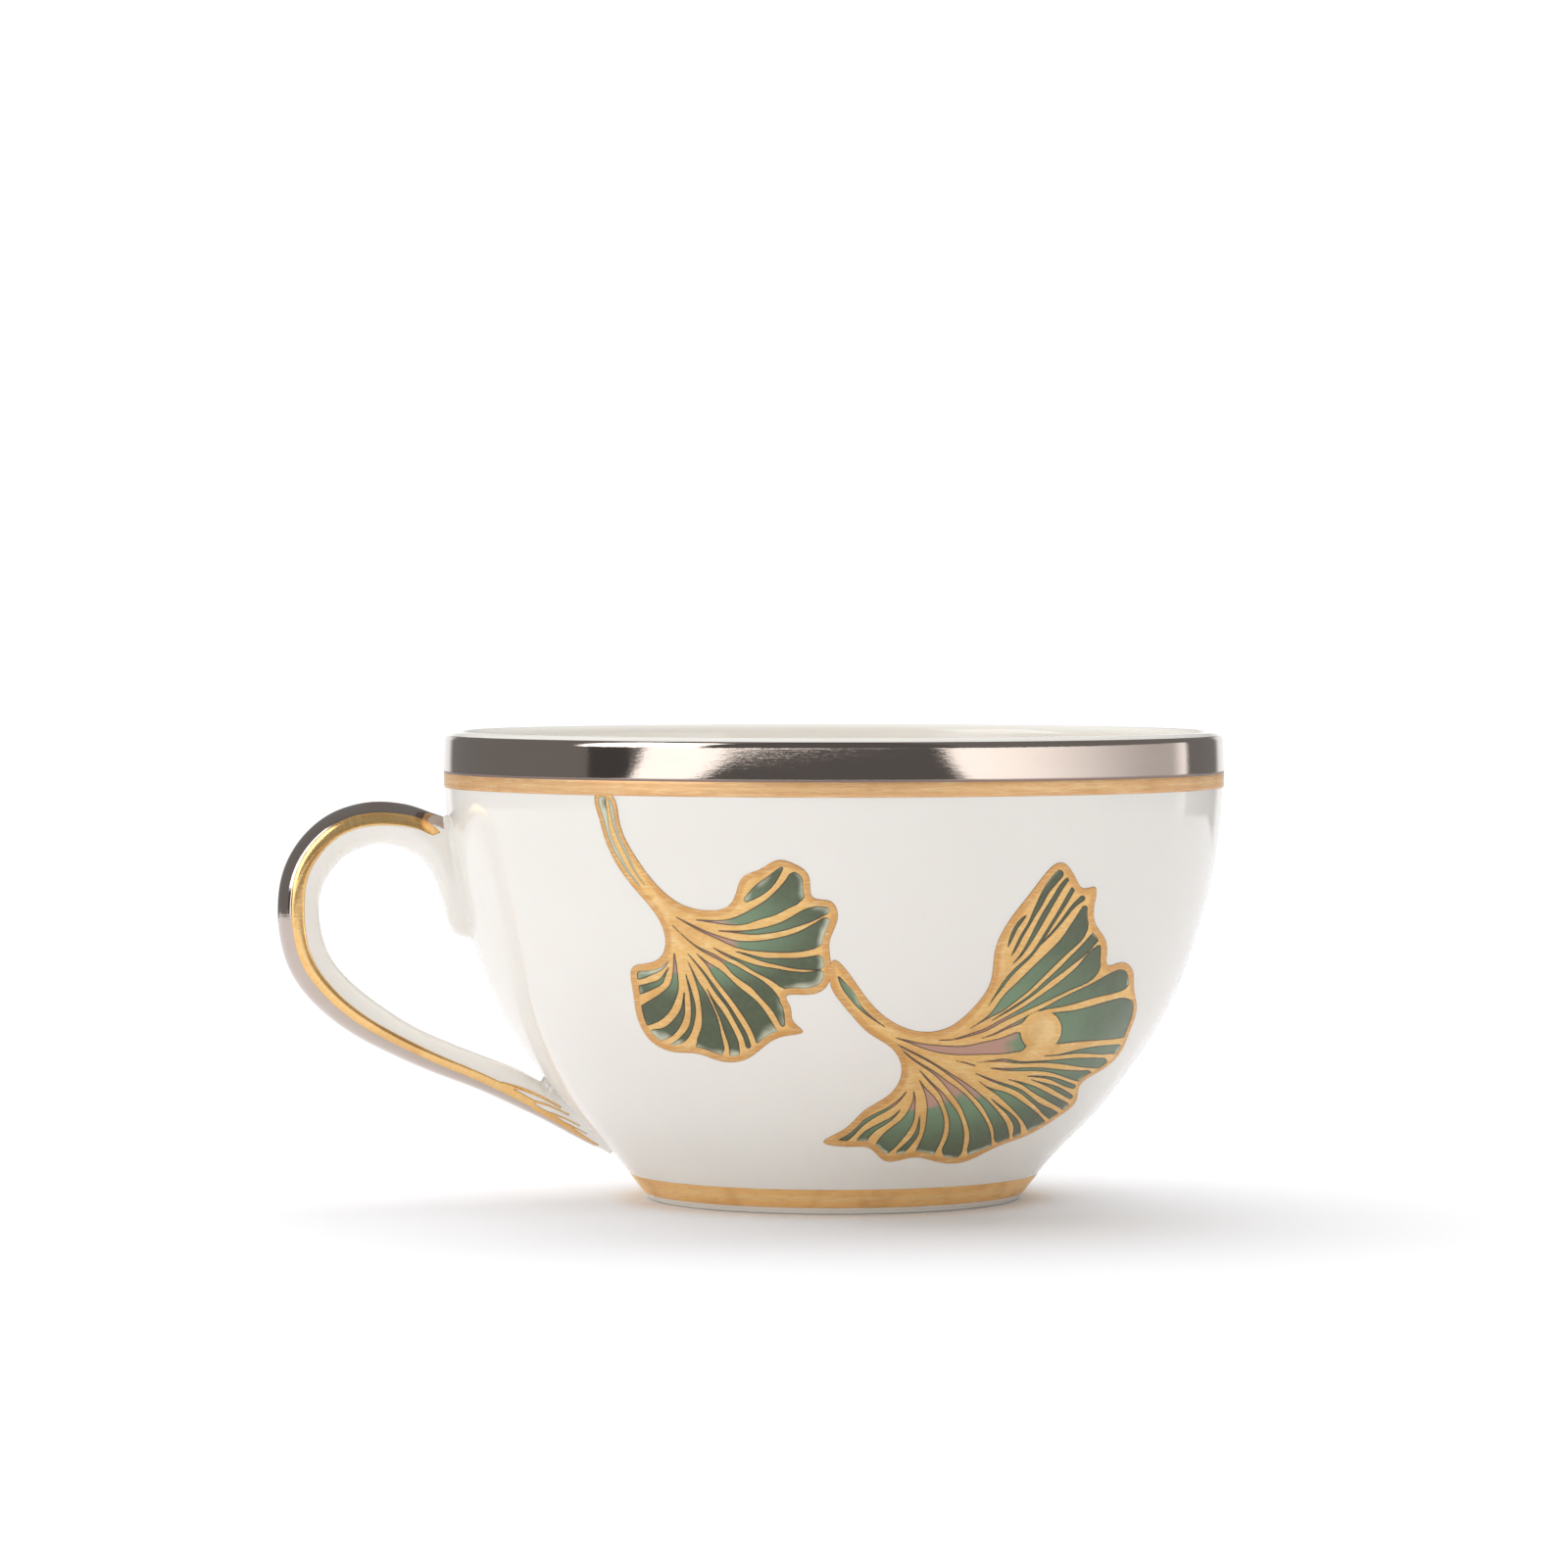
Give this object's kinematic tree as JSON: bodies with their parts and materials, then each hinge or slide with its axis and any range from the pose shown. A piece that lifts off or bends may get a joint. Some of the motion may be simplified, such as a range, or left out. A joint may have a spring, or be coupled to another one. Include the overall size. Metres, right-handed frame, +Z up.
{
  "type": "teacup",
  "caption": "White glazed porcelain teacup with a loop handle, platinum and gold bands at the rim and foot, and green fan-shaped leaves edged and veined in gold.",
  "frame": {"origin": "centre of the foot's resting face, on the bowl's axis", "axes": "+Z up along the bowl's axis; -X towards the handle, which lies in the XZ plane; -Y is the side with the leaves"},
  "size_m": [0.1214, 0.1002, 0.06],
  "materials": {
    "porcelain": "gloss",
    "platinum": "polished",
    "gold": "satin",
    "green_enamel": "gloss"
  },
  "bodies": {
    "root": {"bowl": "porcelain", "handle": "porcelain", "rim_platinum_band": "platinum", "rim_gold_line": "gold", "foot_gold_line": "gold", "handle_platinum_strip": "platinum", "handle_gold_line_front": "gold", "handle_gold_line_rear": "gold", "small_leaf_enamel": "green_enamel", "small_leaf_gold": "gold", "large_leaf_enamel": "green_enamel", "large_leaf_gold": "gold"}
  },
  "joints": []
}
